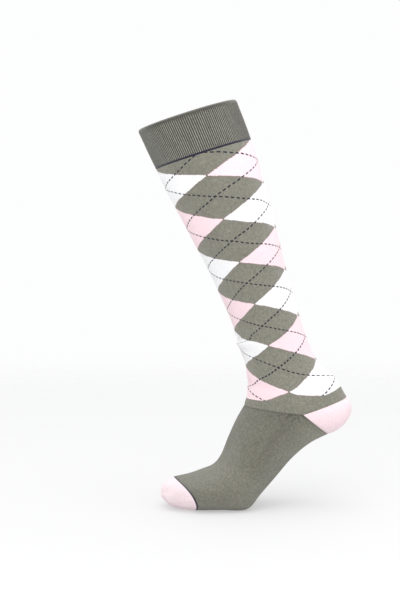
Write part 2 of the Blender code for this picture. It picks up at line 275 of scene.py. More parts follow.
class SockColours(bpy.types.PropertyGroup):
    """Yarn colours, in linear light."""

    grey: colour("Grey", "Leg's grey yarn", (0.210, 0.206, 0.167))
    foot: colour("Foot", "Foot's thicker grey knitting", (0.180, 0.177, 0.141))
    # painted highlight on the ribs' crests
    cuff_crest_highlight: colour("Cuff light", "Crests of the ribs", (0.31, 0.31, 0.27))
    # painted shade in the hollows between the ribs
    cuff_hollow_shade: colour("Cuff dark", "Hollows between the ribs", (0.062, 0.060, 0.050))
    cuff_rim: colour("Cuff rim", "Smooth rim and front", (0.150, 0.149, 0.134))
    # painted shade: the cuff's back is darker and browner, without the crests' highlights
    cuff_back_shade: colour("Cuff back", "Smooth knitting down the back", (0.118, 0.111, 0.098))
    edge: colour("Edge", "Mixed yarns where a grey diamond ends", (0.25, 0.165, 0.165))
    pink: colour("Pink", "Every second coloured diamond", (0.90, 0.700, 0.745))
    # a little lighter than the leg's pink: painted light on the heel
    heel: colour("Heel", "Thicker pink knitting of the heel", (0.91, 0.725, 0.768))
    # lighter than the leg's pink: painted light from above on the toe cap
    toe: colour("Toe", "Thicker pink knitting of the toe cap", (0.925, 0.765, 0.805))
    white: colour("White", "The other coloured diamonds", (0.87, 0.87, 0.88))
    navy: colour("Navy", "Stripes and dashed lines", (0.018, 0.017, 0.035))
    argyle_inside: colour("Argyle inside", "Mixed yarns inside the leg", (0.55, 0.48, 0.48))


class StudioSettings(bpy.types.PropertyGroup):
    """Floor, light and camera."""

    floor: colour("Floor", "Pale floor", (0.37, 0.37, 0.37))
    floor_glow: FloatProperty(name="Floor glow", description="Light from the floor", default=0.41, min=0.0)
    sky: colour("Backdrop", "Light all round", (0.985, 0.988, 0.99))
    sky_strength: FloatProperty(name="Sky strength", description="Light all round", default=1.16, min=0.0)
    key_power: FloatProperty(name="Key power", description="Large soft light", default=14.0, unit="POWER")
    top_power: FloatProperty(name="Top power", description="Soft light overhead", default=7.0, unit="POWER")
    fill_power: FloatProperty(name="Fill power", description="Low soft light", default=4.0, unit="POWER")
    camera_x: length("Camera X", "Across the view", 0.0152)
    camera_y: length("Camera Y", "Distance in front of the sock", -1.655)
    camera_z: length("Camera Z", "Height from the opening", -0.1155)
    camera_pitch: FloatProperty(name="Camera pitch", description="Degrees down", default=3.35)
    focal_share: FloatProperty(name="Focal share", description="Lens per frame height", default=2.3933)


def smooth_weights(t):
    """Weights of first value, first slope, last value and last slope on a smooth curve."""
    return 2 * t**3 - 3 * t**2 + 1, t**3 - 2 * t**2 + t, 3 * t**2 - 2 * t**3, t**3 - t**2


class Run:
    """Courses in order, with the distance along their middles, read at any distance."""

    def __init__(self, courses, ground=-math.inf):
        self.courses = courses
        self.ground = ground
        self.at = [0.0]
        for before, after in zip(courses, courses[1:]):
            self.at.append(self.at[-1] + (middle_of(after) - middle_of(before)).length)

    def slope(self, i):
        """Change of each value per metre at one of the given courses."""
        low, high = max(i - 1, 0), min(i + 1, len(self.at) - 1)
        span = self.at[high] - self.at[low]
        return [(b - a) / span for a, b in zip(self.courses[low], self.courses[high])]

    def read(self, distance):
        """Course at a distance along the run, on a smooth curve through the given ones."""
        i = 0
        while i < len(self.at) - 2 and distance > self.at[i + 1]:
            i += 1
        span = self.at[i + 1] - self.at[i]
        ease = smooth_weights((distance - self.at[i]) / span)
        values = []
        for a, m, b, n in zip(self.courses[i], self.slope(i), self.courses[i + 1], self.slope(i + 1)):
            values.append(ease[0] * a + ease[1] * span * m + ease[2] * b + ease[3] * span * n)
        return Course(*values)


def middle_of(item):
    """Point halfway between the front and the back of a course."""
    return Vector((item.front_x + item.back_x, item.front_z + item.back_z)) / 2


def course(row, middle, depth_size, width_size, inward, turn):
    """Crossings of one course with the front, side and back lines, in the plane of the leg."""
    tilt = math.radians(row.tilt)
    along = Vector((math.cos(tilt), math.sin(tilt)))
    below = Vector((math.sin(tilt), -math.cos(tilt)))
    half = along * row.depth * depth_size / 2
    side = middle + along * row.slide * depth_size + below * row.dip * depth_size
    front = middle - half
    back = middle + half
    return Course(*front, *side, *back, row.width * width_size, row.crease, row.egg, row.square, inward, turn)


def leg_course(sizes, row, depth_size, width_size):
    """Course of the leg, measured from the middle of the ankle course."""
    lean = math.radians(sizes.leg_lean)
    up = (1.0 - row.down) * sizes.leg_length
    bow = row.bow * depth_size
    middle = Vector((bow * math.cos(lean) - up * math.sin(lean), bow * math.sin(lean) + up * math.cos(lean)))
    return course(row, middle, depth_size, width_size, 0.0, 0.0)


def upper_run(sizes):
    """Courses from the rim down to the ankle."""
    rim = CALF_ROWS[0]._replace(
        down=-sizes.cuff_height / sizes.leg_length,
        bow=0.0,
        depth=sizes.cuff_depth / sizes.calf_depth,
        width=sizes.cuff_width / sizes.calf_width,
    )
    courses = [leg_course(sizes, row, sizes.calf_depth, sizes.calf_width) for row in (rim, *CALF_ROWS)]
    courses += [leg_course(sizes, row, sizes.ankle_depth, sizes.ankle_width) for row in ANKLE_ROWS]
    return Run(courses)


def lower_run(sizes):
    """Courses from the ankle down to the tip of the toes, turned outwards step by step."""
    courses = []
    for i, row in enumerate(FOOT_ROWS + TOE_ROWS):
        middle = Vector((-row.fore, -row.drop)) * sizes.foot_length
        turn = min(i / TURNING_ROWS, 1.0) * sizes.toe_turn
        inward = row.inward * sizes.ball_width
        courses.append(course(row, middle, sizes.ball_depth, sizes.ball_width, inward, turn))
    return Run(courses, min(item.back_z for item in courses) + sizes.sole_press)


def signed_power(value, power):
    """Power of a number that keeps its sign."""
    return math.copysign(abs(value) ** power, value)


def fold_height(sizes, distance, angle):
    """How far the folds of the leg raise the cloth, at a distance from the rim."""
    height = 0.0
    for fold in FOLDS + CREASES:
        below = distance - sizes.cuff_height - fold.down * sizes.leg_length
        down = below / (fold.length * sizes.leg_length)
        turn = (abs(angle) - fold.angle) / fold.spread
        height += fold.height * math.exp(-down**2 - turn**2)
    return height


def on_course(item, angle, inset, ground=-math.inf):
    """Point of a course: 0 degrees is the back, 90 the outer side and 180 the front.

    The sole is pressed flat where it would go below the ground.
    """
    cos, sin = math.cos(math.radians(angle)), math.sin(math.radians(angle))
    reach = signed_power(cos, 2 / item.square)
    spread = signed_power(sin, 2 / item.square)
    front = Vector((item.front_x, item.front_z))
    side = Vector((item.side_x, item.side_z))
    back = Vector((item.back_x, item.back_z))
    depth = (back - front).length
    shrink = (back - front) * min(inset / depth, 0.5) if depth > 0 else Vector((0, 0))
    front, back = front + shrink, back - shrink
    middle = (front + back) / 2
    end = back if reach > 0 else front
    sharp = side + (end - side) * abs(reach)
    smooth = middle + (back - front) / 2 * reach + (side - middle) * (1 - reach**2)
    flat = smooth.lerp(sharp, max(0.0, min(item.crease, 1.0)))
    half_width = max(item.width / 2 - inset, 0.0)
    across = -half_width * spread * (1 + item.egg * reach) + item.inward
    point = Vector((flat.x, across, max(flat.y, ground + max(inset, 0.0))))
    return Matrix.Rotation(math.radians(item.turn), 3, "Z") @ point


def on_cloth(item, angle, inset, ground=-math.inf):
    """Point of a course with the slight waves of worn-in cloth, which die out at the toes' tip."""
    wave = WAVE_HEIGHT * noise.noise(on_course(item, angle, 0.0, ground) * WAVE_COUNT)
    return on_course(item, angle, inset - wave * min(item.width / WAVE_FADE, 1.0), ground)


def stations(start, end, step):
    """Evenly spaced distances from start to end, no further apart than step."""
    count = max(1, math.ceil((end - start) / step))
    return [start + (end - start) * i / count for i in range(count + 1)]


def between(value, knots):
    """Straight-line reading of a table of (place, value) pairs."""
    for (low, first), (high, last) in zip(knots, knots[1:]):
        if value <= high:
            return first + (last - first) * (value - low) / (high - low)
    return knots[-1][1]


class Cloth:
    """Rows of points with their knitting counts, which become one closed piece."""

    def __init__(self):
        self.points = []
        self.counts = []
        self.inner_from = None

    def add(self, points, counts):
        """One row: its points round the sock and the knitting count at each."""
        self.points.append(points)
        self.counts.append(counts)

    def start_inner(self):
        """The rows from here on are the inner face."""
        self.inner_from = len(self.points)

    def close(self):
        """End on the first row."""
        self.points.append(self.points[0])
        self.counts.append(self.counts[-1])

    def make(self, name, materials):
        """Object laid on a grid, with its seams merged."""
        rows, columns = len(self.points), len(self.points[0])
        bm = bmesh.new()
        bmesh.ops.create_grid(bm, x_segments=columns - 1, y_segments=rows - 1, size=1.0)
        bm.verts.ensure_lookup_table()
        counts = bm.loops.layers.uv.new("knitting")
        for vert in bm.verts:
            row, column = divmod(vert.index, columns)
            vert.co = self.points[row][column]
        for face in bm.faces:
            lowest = min(vert.index // columns for vert in face.verts)
            face.material_index = int(self.inner_from is not None and lowest >= self.inner_from)
            for loop in face.loops:
                row, column = divmod(loop.vert.index, columns)
                loop[counts].uv = self.counts[row][column]
        bmesh.ops.remove_doubles(bm, verts=bm.verts, dist=WELD)
        bmesh.ops.recalc_face_normals(bm, faces=bm.faces)
        mesh = bpy.data.meshes.new(name)
        bm.to_mesh(mesh)
        bm.free()
        mesh.shade_smooth()
        mesh.set_sharp_from_angle(angle=SHARP_EDGE)
        for material in materials:
            mesh.materials.append(material)
        piece = bpy.data.objects.new(name, mesh)
        bpy.context.scene.collection.objects.link(piece)
        return piece


def shares(points):
    """How far round its ring each point lies, as a share."""
    sums = [0.0]
    for before, after in zip(points, points[1:]):
        sums.append(sums[-1] + (after - before).length)
    return [value / sums[-1] for value in sums]


def ring(run, distance, inset, columns=ROUND_COLUMNS, height=None):
    """Points of the course at a distance, set in from the outer face. The last repeats the first."""
    item = run.read(distance)
    points = []
    for i in range(columns):
        angle = 360.0 * i / columns
        if angle > 180:
            angle -= 360
        raised = height(distance, angle, i) if height else 0.0
        points.append(on_cloth(item, angle, inset - raised, run.ground))
    return points + points[:1]


def placed(sizes, points):
    """Move points so that the middle of the cuff's opening is the origin."""
    rim = middle_of(upper_run(sizes).courses[0])
    offset = Vector((rim.x, 0.0, rim.y))
    return [point - offset for point in points]


class Net:
    """Short way to wire the nodes of one material."""

    def __init__(self, name):
        self.material = bpy.data.materials.new(name)
        self.material.use_nodes = True
        self.tree = self.material.node_tree
        self.shader = self.tree.nodes["Principled BSDF"]

    def feed(self, socket, value):
        """Link a socket to an input, or set the input to a plain value."""
        if isinstance(value, bpy.types.NodeSocket):
            self.tree.links.new(value, socket)
        else:
            socket.default_value = value

    def math(self, operation, *values):
        """Result of a Math node."""
        node = self.tree.nodes.new("ShaderNodeMath")
        node.operation = operation
        for socket, value in zip(node.inputs, values):
            self.feed(socket, value)
        return node.outputs[0]

    def mix(self, factor, first, second):
        """Colour between two colours."""
        node = self.tree.nodes.new("ShaderNodeMix")
        node.data_type = "RGBA"
        self.feed(node.inputs[0], factor)
        for socket, value in zip(node.inputs[6:8], (first, second)):
            self.feed(socket, value if isinstance(value, bpy.types.NodeSocket) else (*value, 1.0))
        return node.outputs[2]

    def shade(self, tone, value):
        """Colour made lighter or darker by a factor."""
        node = self.tree.nodes.new("ShaderNodeMix")
        node.data_type = "RGBA"
        node.blend_type = "MULTIPLY"
        node.inputs[0].default_value = 1.0
        self.feed(node.inputs[6], tone if isinstance(tone, bpy.types.NodeSocket) else (*tone, 1.0))
        self.feed(node.inputs[7], value)
        return node.outputs[2]

    def spread(self, value, amount):
        """Factor near 1 from a value between 0 and 1."""
        return self.math("MULTIPLY_ADD", self.math("SUBTRACT", value, 0.5), amount, 1.0)

    def ramp(self, value, low, high, out_low=0.0, out_high=1.0):
        """Smooth step between two values."""
        node = self.tree.nodes.new("ShaderNodeMapRange")
        node.interpolation_type = "SMOOTHSTEP"
        for socket, item in zip(node.inputs, (value, low, high, out_low, out_high)):
            self.feed(socket, item)
        return node.outputs[0]

    def counts(self):
        """Knitting counts across and along."""
        node = self.tree.nodes.new("ShaderNodeUVMap")
        node.uv_map = "knitting"
        split = self.tree.nodes.new("ShaderNodeSeparateXYZ")
        self.tree.links.new(node.outputs[0], split.inputs[0])
        return split.outputs[0], split.outputs[1]

    def place(self):
        """Position on the object."""
        return self.tree.nodes.new("ShaderNodeTexCoord").outputs["Object"]

    def joined(self, x, y, z=0.0):
        """Vector of three values."""
        node = self.tree.nodes.new("ShaderNodeCombineXYZ")
        for socket, value in zip(node.inputs, (x, y, z)):
            self.feed(socket, value)
        return node.outputs[0]

    def cloud(self, vector, scale, detail=2.0):
        """Soft noise between 0 and 1."""
        node = self.tree.nodes.new("ShaderNodeTexNoise")
        self.feed(node.inputs["Vector"], vector)
        node.inputs["Scale"].default_value = scale
        node.inputs["Detail"].default_value = detail
        return node.outputs[0]

    def speckle(self, vector):
        """Random value for each whole-number place."""
        node = self.tree.nodes.new("ShaderNodeTexWhiteNoise")
        node.noise_dimensions = "3D"
        self.feed(node.inputs["Vector"], vector)
        return node.outputs[0]

    def finish(self, tone, height, depth, sheen=0.25):
        """Set the cloth's colour, relief and surface."""
        bump = self.tree.nodes.new("ShaderNodeBump")
        bump.inputs["Strength"].default_value = 1.0
        bump.inputs["Distance"].default_value = depth
        self.feed(bump.inputs["Height"], height)
        self.feed(self.shader.inputs["Normal"], bump.outputs[0])
        self.feed(self.shader.inputs["Base Color"], tone)
        self.shader.inputs["Roughness"].default_value = 0.92
        self.shader.inputs["Specular IOR Level"].default_value = 0.2
        self.shader.inputs["Sheen Weight"].default_value = sheen
        self.shader.inputs["Sheen Roughness"].default_value = 0.5
        return self.material


def stitches(net, across, along):
    """Relief of plain knitting, and the needle and course that each point belongs to."""
    wale = net.math("MULTIPLY", across, NEEDLES_PER_QUARTER)
    arm = net.math("ABSOLUTE", net.math("SUBTRACT", net.math("FRACT", wale), 0.5))
    lifted = net.math("MULTIPLY_ADD", along, COURSES_PER_ROW, net.math("MULTIPLY", arm, -1.1))
    strand = net.math("SINE", net.math("MULTIPLY", arm, 2 * math.pi))
    loop = net.math("SINE", net.math("MULTIPLY", net.math("FRACT", lifted), math.pi))
    relief = net.math("MULTIPLY", strand, net.math("MULTIPLY_ADD", loop, 0.6, 0.4))
    return relief, net.math("FLOOR", wale), net.math("FLOOR", lifted)


def yarn(net, tone, relief, needle, course_count, mottle):
    """Yarn colour with painted shade in the gaps between the loops, flecks, a soft grain and wider patches.
    """
    flecks = net.spread(net.speckle(net.joined(needle, course_count)), mottle)
    grain = net.spread(net.cloud(net.place(), GRAIN_COUNT), net.math("MULTIPLY", mottle, GRAIN_SHARE))
    patches = net.spread(net.cloud(net.place(), PATCH_COUNT, 3.0), net.math("MULTIPLY", mottle, PATCH_SHARE))
    # painted shade: the yarn is darkened where the relief is low, in the gaps between the loops
    painted_gap_shade = net.math("MULTIPLY", net.ramp(relief, 0.0, 0.7, 1.0, 0.0), net.math("MULTIPLY", mottle, GAP_SHADE_SHARE))
    factor = net.math("MULTIPLY", net.math("MULTIPLY", flecks, grain), net.math("SUBTRACT", patches, painted_gap_shade))
    return net.shade(tone, factor)


def plain_knit(name, tone, mottle=0.05, depth=FINE_RELIEF):
    """Plain knitting of one yarn."""
    net = Net(name)
    across, along = net.counts()
    relief, needle, course_count = stitches(net, across, along)
    cloth = yarn(net, tuple(tone), relief, needle, course_count, mottle)
    return net.finish(cloth, relief, depth)


def foot_cloth(colours):
    """Thicker grey knitting, with a fine seam round its top and darker stitches by the heel's corner, and
    painted light: lighter towards the ball and under the heel.
    """
    net = Net("foot_knit")
    across, along = net.counts()
    relief, needle, course_count = stitches(net, across, along)
    from_back = net.math("PINGPONG", across, 2.0)
    from_side = net.math("ABSOLUTE", net.math("SUBTRACT", from_back, 1.0))
    pairs = net.joined(net.math("FLOOR", net.math("DIVIDE", needle, 2.0)),
                       net.math("FLOOR", net.math("DIVIDE", course_count, 2.0)))
    stitch = net.math("GREATER_THAN", net.speckle(pairs), 0.58)
    corner = net.ramp(from_side, 0.12, 0.42, 1.0, 0.0)
    near_corner = net.math("MULTIPLY", corner, net.ramp(along, 0.25, 0.5, 1.0, 0.0))
    side = net.ramp(from_side, 0.03, 0.16, 1.0, 0.0)
    side_line = net.math("MULTIPLY", side, net.ramp(along, 2.5, 5.0, 1.0, 0.0))
    # painted light under the heel: the sole near the heel is made up to four tenths lighter
    sole = net.ramp(from_back, 0.25, 1.0, 1.0, 0.0)
    painted_light_under_heel = net.math("MULTIPLY", sole, net.ramp(along, 0.5, 3.0, 1.0, 0.0))
    streaks = net.cloud(net.joined(net.math("MULTIPLY", across, 26.0), net.math("MULTIPLY", along, 0.7)), 1.0)
    factors = (
        net.ramp(along, 0.02, 0.11, 0.78, 1.0),
        # painted light: lighter towards the ball, where light from above falls
        net.ramp(along, 0.0, 5.0, 0.94, 1.15),
        net.spread(streaks, 0.16),
        net.math("MULTIPLY_ADD", net.math("MULTIPLY", stitch, near_corner), -0.30, 1.0),
        net.math("MULTIPLY_ADD", side_line, -0.08, 1.0),
        net.math("MULTIPLY_ADD", painted_light_under_heel, 0.42, 1.0),
    )
    factor = factors[0]
    for other in factors[1:]:
        factor = net.math("MULTIPLY", factor, other)
    cloth = yarn(net, net.shade(tuple(colours.foot), factor), relief, needle, course_count, 0.19)
    return net.finish(cloth, relief, THICK_RELIEF)


def reverse_knit(name, tone):
    """Inner face: low purl bumps in rows, with painted shade between them."""
    net = Net(name)
    across, along = net.counts()
    wale = net.math("MULTIPLY", across, NEEDLES_PER_QUARTER * math.pi)
    row = net.math("MULTIPLY", along, COURSES_PER_ROW * math.pi)
    bumps = net.math("MULTIPLY", net.math("ABSOLUTE", net.math("SINE", row)),
                     net.math("MULTIPLY_ADD", net.math("ABSOLUTE", net.math("COSINE", wale)), 0.5, 0.5))
    # painted shade: the low parts between the bumps are darkened to seven tenths
    cloth = net.mix(net.ramp(bumps, 0.0, 0.8, 0.7, 1.0), (0.0, 0.0, 0.0), tuple(tone))
    return net.finish(cloth, bumps, REVERSE_RELIEF)


def argyle_knit(colours):
    """Grey diamonds between pink and white ones, counted in stitches and crossed by dashed lines."""
    net = Net("argyle_knit")
    across, along = net.counts()
    relief, needle, course_count = stitches(net, across, along)
    column = net.math("DIVIDE", net.math("ADD", needle, 0.5), NEEDLES_PER_QUARTER)
    row = net.math("DIVIDE", net.math("ADD", course_count, 0.5), COURSES_PER_ROW)
    from_grey = net.math("ADD", net.math("PINGPONG", column, 1.0), net.math("PINGPONG", row, 1.0))
    is_grey = net.math("LESS_THAN", from_grey, 1.0)
    pair = net.math("ADD", net.math("FLOOR", net.math("DIVIDE", column, 2.0)),
                    net.math("FLOOR", net.math("DIVIDE", row, 2.0)))
    is_pink = net.math("LESS_THAN", net.math("FRACT", net.math("DIVIDE", pair, 2.0)), 0.25)
    below = net.math("GREATER_THAN", row, ARGYLE_END)
    in_argyle = net.math("SUBTRACT", 1.0, below)
    outermost = net.math("MULTIPLY", is_grey, net.math("GREATER_THAN", from_grey, 0.95))
    dashes = dashed_lines(net, across, along)
    tone = net.mix(is_pink, tuple(colours.white), tuple(colours.pink))
    # painted light: the grey is made lighter further down the leg, by up to a tenth
    lower = net.math("MULTIPLY", net.ramp(row, 1.0, 8.0), in_argyle)
    grey = net.shade(tuple(colours.grey), net.math("MULTIPLY_ADD", lower, 0.09, 1.02))
    tone = net.mix(net.math("MAXIMUM", is_grey, below), tone, grey)
    tint = net.math("MULTIPLY", outermost, net.math("MULTIPLY", in_argyle, 0.45))
    tone = net.mix(tint, tone, tuple(colours.edge))
    tone = net.mix(net.math("MULTIPLY", dashes, in_argyle), tone, tuple(colours.navy))
    mottle = net.math("MULTIPLY_ADD", net.math("MAXIMUM", is_grey, below), 0.13, 0.03)
    cloth = yarn(net, tone, relief, needle, course_count, mottle)
    return net.finish(cloth, relief, FINE_RELIEF)


def dashed_lines(net, across, along):
    """1 on the dashes that run through the diamonds' centres."""
    lines = []
    for operation in ("ADD", "SUBTRACT"):
        off = net.math("PINGPONG", net.math(operation, along, across), 1.0)
        lines.append(net.math("LESS_THAN", off, DASH_WIDTH / 2))
    phase = net.math("FRACT", net.math("MULTIPLY_ADD", across, DASHES_PER_QUARTER, DASH_SHARE / 2))
    return net.math("MULTIPLY", net.math("MAXIMUM", *lines), net.math("LESS_THAN", phase, DASH_SHARE))


def rib_knit(colours, ribs):
    """Ribbed knitting: U counts ribs, with a painted highlight on their crests and painted shade in their
    hollows, an even tone at rim and front, and painted shade down the back.
    """
    net = Net("rib_knit")
    across, along = net.counts()
    crest = net.math("COSINE", net.math("MULTIPLY", across, 2 * math.pi))
    level = net.math("MULTIPLY_ADD", crest, 0.5, 0.5)
    needle = net.math("ROUND", across)
    course_count = net.math("MULTIPLY", along, COURSES_PER_ROW)
    loops = net.math("SINE", net.math("MULTIPLY", net.math("FRACT", course_count), math.pi))
    patchy = net.cloud(net.joined(net.math("MULTIPLY", needle, 0.37), net.math("MULTIPLY", along, 1.3)), 1.0)
    strength = net.math("MULTIPLY", net.ramp(along, 0.06, 0.30), net.ramp(patchy, 0.30, 0.62, 0.75, 1.0))
    # painted highlights on the rib crests over painted shade in the hollows, patchy and fading near the rim
    lines = net.math("MULTIPLY", net.ramp(level, 0.55, 0.98), strength)
    tone = net.mix(lines, tuple(colours.cuff_hollow_shade), tuple(colours.cuff_crest_highlight))
    round_share = net.math("DIVIDE", net.math("PINGPONG", across, ribs / 2), ribs / 2)
    back = net.ramp(round_share, 0.16, 0.30, 0.85, 0.0)
    front = net.ramp(round_share, 0.72, 0.84, 0.0, 0.75)
    rim = net.ramp(along, 0.03, 0.10, 1.0, 0.0)
    # painted shade down the back of the cuff
    tone = net.mix(back, tone, tuple(colours.cuff_back_shade))
    tone = net.mix(net.math("MAXIMUM", rim, front), tone, tuple(colours.cuff_rim))
    cloth = yarn(net, tone, loops, needle, net.math("FLOOR", course_count), 0.14)
    return net.finish(cloth, loops, RIB_RELIEF)


def row_height(sizes):
    """Length of a row of half diamonds, which sets the gauge of all the plain knitting."""
    return sizes.leg_length / PATTERN_ROWS[-1].row


def plain_counts(sizes, points, distance):
    """Knitting counts of plain cloth."""
    return [(-4 * share, distance / row_height(sizes)) for share in shares(points)]


def pattern_counts(sizes, points, distance):
    """Knitting counts of the argyle, on the corners that the table gives."""
    down = (distance - sizes.cuff_height) / sizes.leg_length
    row = between(down, [(item.down, item.row) for item in PATTERN_ROWS])
    back, outer, front = (
        between(down, [(item.down, getattr(item, key)) for item in PATTERN_ROWS])
        for key in ("back", "outer", "front")
    )
    knots = [(back, 1.0), (outer, 0.0), (front, -1.0), ((front + back + 1.0) / 2, -2.0), (1.0 + back, -3.0)]
    fade = min(max((ARGYLE_END - row) / (ARGYLE_END - SWAY_FADE), 0.0), 1.0)
    counts = []
    for i, share in enumerate(shares(points)):
        across = between(share, knots) if share >= back else between(share + 1.0, knots) + 4.0
        angle = 360.0 * i / ROUND_COLUMNS
        taken = TAKE_UP * fold_height(sizes, distance, angle - 360.0 if angle > 180.0 else angle)
        drift = DRIFT_ROWS * noise.noise(points[i] * DRIFT_COUNT)
        counts.append((across, row - sway(across) * fade + taken + drift))
    return counts


def sway(across):
    """How far the rows hang between the corners, alike on both sides of the sock."""
    turn = (across + 1.0) % 4.0
    side = turn - 1.0 if turn <= 2.0 else 3.0 - turn
    return (FRONT_SWAY if side < 0 else BACK_SWAY) * math.sin(math.pi / 2 * abs(side))


def rounded(start, end, step):
    """Distances from start to end with the insets that round both edges."""
    turns = [math.pi / 2 * i / 3 for i in range(3)]
    curve = [(EDGE_ROUND * (1 - math.cos(turn)), EDGE_ROUND * (1 - math.sin(turn))) for turn in turns]
    middle = [(place, 0.0) for place in stations(start + EDGE_ROUND, end - EDGE_ROUND, step)]
    first = [(start + reach, inset) for reach, inset in curve]
    return first + middle + [(end - reach, inset) for reach, inset in reversed(curve)]


def tube(sizes, name, run, start, end, materials, counts=plain_counts, height=None):
    """Knitted tube between two distances along a run."""
    cloth = Cloth()
    for place, inset in rounded(start, end, TUBE_STEP):
        points = ring(run, place, inset, height=height)
        cloth.add(placed(sizes, points), counts(sizes, points, place))
    cloth.start_inner()
    for place in reversed(stations(start, end, 3 * TUBE_STEP)):
        points = ring(run, place, sizes.wall, height=height)
        cloth.add(placed(sizes, points), counts(sizes, points, place))
    cloth.close()
    return cloth.make(name, materials)


def dress(piece, node):
    """Let a piece stand for a node and ride with the sock."""
    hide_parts(node)
    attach(piece, "root")


class SOCK_OT_cuff(bpy.types.Operator):
    """Ribbed band with a curled rim"""

    bl_idname = "sock.cuff"
    bl_label = "Ribbed cuff"

    def execute(self, context):
        sizes, colours = context.scene.sock_sizes, context.scene.sock_colours
        run = upper_run(sizes)
        columns = sizes.ribs * RIB_COLUMNS
        radius = sizes.cuff_wall / 2

        def ribs(distance, angle, i):
            crest = 0.5 + 0.5 * math.cos(2 * math.pi * i / RIB_COLUMNS)
            weaker = 1.0 - 0.3 * ((i + RIB_COLUMNS // 2) // RIB_COLUMNS % 2)
            fade = min(max((distance - radius) / CURL_HEIGHT, 0.0), 1.0)
            return -sizes.rib_depth * (1.0 - crest * weaker) * fade

        def add_row(place, inset, height=None):
            over = max(1.0 - place / CURL_HEIGHT, 0.0)
            curled = inset + CURL_REACH * (1.0 - math.sqrt(1.0 - over**2))
            points = ring(run, place, curled, columns, height)
            cloth.add(placed(sizes, points), [(i / RIB_COLUMNS, place / row) for i in range(columns + 1)])

        row = row_height(sizes)
        cloth = Cloth()
        for place in reversed(stations(CURL_HEIGHT, sizes.cuff_height, RIB_STEP)):
            add_row(place, 0.0, ribs)
        for place in reversed(stations(radius, CURL_HEIGHT, RIM_STEP)[:-1]):
            add_row(place, 0.0, ribs)
        for i in range(1, RIM_ROWS):
            turn = math.pi * i / RIM_ROWS
            add_row(radius * (1 - math.sin(turn)), radius * (1 - math.cos(turn)))
        cloth.start_inner()
        for place in stations(radius, CURL_HEIGHT, 2 * RIM_STEP)[:-1]:
            add_row(place, sizes.cuff_wall)
        for place in stations(CURL_HEIGHT, sizes.cuff_height, CUFF_INNER_STEP):
            add_row(place, sizes.cuff_wall)
        cloth.close()
        inside = reverse_knit("cuff_inside", colours.grey)
        dress(cloth.make("ribbed_cuff", (rib_knit(colours, sizes.ribs), inside)), "cuff")
        return {"FINISHED"}


class SOCK_OT_stripes(bpy.types.Operator):
    """Narrow stripes under the cuff and before the toes"""

    bl_idname = "sock.stripes"
    bl_label = "Stripes"

    def execute(self, context):
        sizes, colours = context.scene.sock_sizes, context.scene.sock_colours
        upper, lower = upper_run(sizes), lower_run(sizes)
        toe_start = lower.at[len(FOOT_ROWS) - 1]
        navy = plain_knit("navy_knit", colours.navy)
        places = (
            ("cuff_line", "cuff_stripe", upper, sizes.cuff_height, sizes.cuff_height + sizes.cuff_stripe),
            ("toe_line", "toe_stripe", lower, toe_start - sizes.toe_stripe, toe_start),
        )
        for name, node, run, start, end in places:
            dress(tube(sizes, name, run, start, end, (navy, navy)), node)
        return {"FINISHED"}


class SOCK_OT_leg(bpy.types.Operator):
    """Argyle leg from the cuff's stripe to the ankle"""

    bl_idname = "sock.leg"
    bl_label = "Argyle leg"

    def execute(self, context):
        sizes, colours = context.scene.sock_sizes, context.scene.sock_colours
        run = upper_run(sizes)
        inside = reverse_knit("argyle_inside", colours.argyle_inside)

        def height(distance, angle, i):
            return fold_height(sizes, distance, angle)

        start = sizes.cuff_height + sizes.cuff_stripe
        materials = (argyle_knit(colours), inside)
        piece = tube(sizes, "argyle_leg", run, start, run.at[-1], materials, pattern_counts, height)
        dress(piece, "leg")
        return {"FINISHED"}


class SOCK_OT_foot(bpy.types.Operator):
    """Plain foot from the ankle to the toe stripe"""

    bl_idname = "sock.foot"
    bl_label = "Foot"

    def execute(self, context):
        sizes, colours = context.scene.sock_sizes, context.scene.sock_colours
        run = lower_run(sizes)
        toe_start = run.at[len(FOOT_ROWS) - 1]
        materials = (foot_cloth(colours), reverse_knit("foot_inside", colours.foot))
        piece = tube(sizes, "foot_knit", run, 0.0, toe_start - sizes.toe_stripe, materials)
        dress(piece, "foot")
        return {"FINISHED"}


class SOCK_OT_heel(bpy.types.Operator):
    """Heel wedge between the leg and the foot"""

    bl_idname = "sock.heel"
    bl_label = "Heel"

    def execute(self, context):
        sizes, colours = context.scene.sock_sizes, context.scene.sock_colours
        upper, lower = upper_run(sizes).courses[-1], lower_run(sizes).courses[0]
        fan = heel_fan(sizes, upper, lower, HEEL_COURSES)
        columns = ROUND_COLUMNS // 2
        cloth = Cloth()
        half = sizes.heel_reach / row_height(sizes)
        for inset in (0.0, sizes.wall):
            order = fan if inset == 0.0 else list(reversed(fan))
            if inset:
                cloth.start_inner()
            for share, item in order:
                rounding = EDGE_ROUND * (share in (0.0, 1.0) and inset == 0.0)
                angles = [90.0 - 180.0 * i / columns for i in range(columns + 1)]
                points = [on_cloth(item, angle, inset + rounding) for angle in angles]
                counts = [(2 * i / columns, share * half) for i in range(columns + 1)]
                cloth.add(placed(sizes, points), counts)
        cloth.close()
        materials = (plain_knit("heel_knit", colours.heel), reverse_knit("heel_inside", colours.pink))
        dress(cloth.make("heel_knit", materials), "heel")
        return {"FINISHED"}


def heel_fan(sizes, upper, lower, count):
    """Courses of the heel, which fan out behind the side points of the ankle course."""
    side = Vector((upper.side_x, upper.side_z))
    edges = [Vector((item.back_x, item.back_z)) - side for item in (upper, lower)]
    swings = [math.atan2(edge.y, edge.x) for edge in edges]
    knots = [(0.0, edges[0].length)]
    knots += [(row.swing, row.reach * sizes.heel_reach) for row in HEEL_ROWS]
    knots.append((1.0, edges[1].length))
    fan = []
    for i in range(count + 1):
        share = i / count
        swing = swings[0] + (swings[1] - swings[0]) * share
        back = side + Vector((math.cos(swing), math.sin(swing))) * smooth_between(share, knots)
        fan.append((share, upper._replace(back_x=back.x, back_z=back.y)))
    return fan


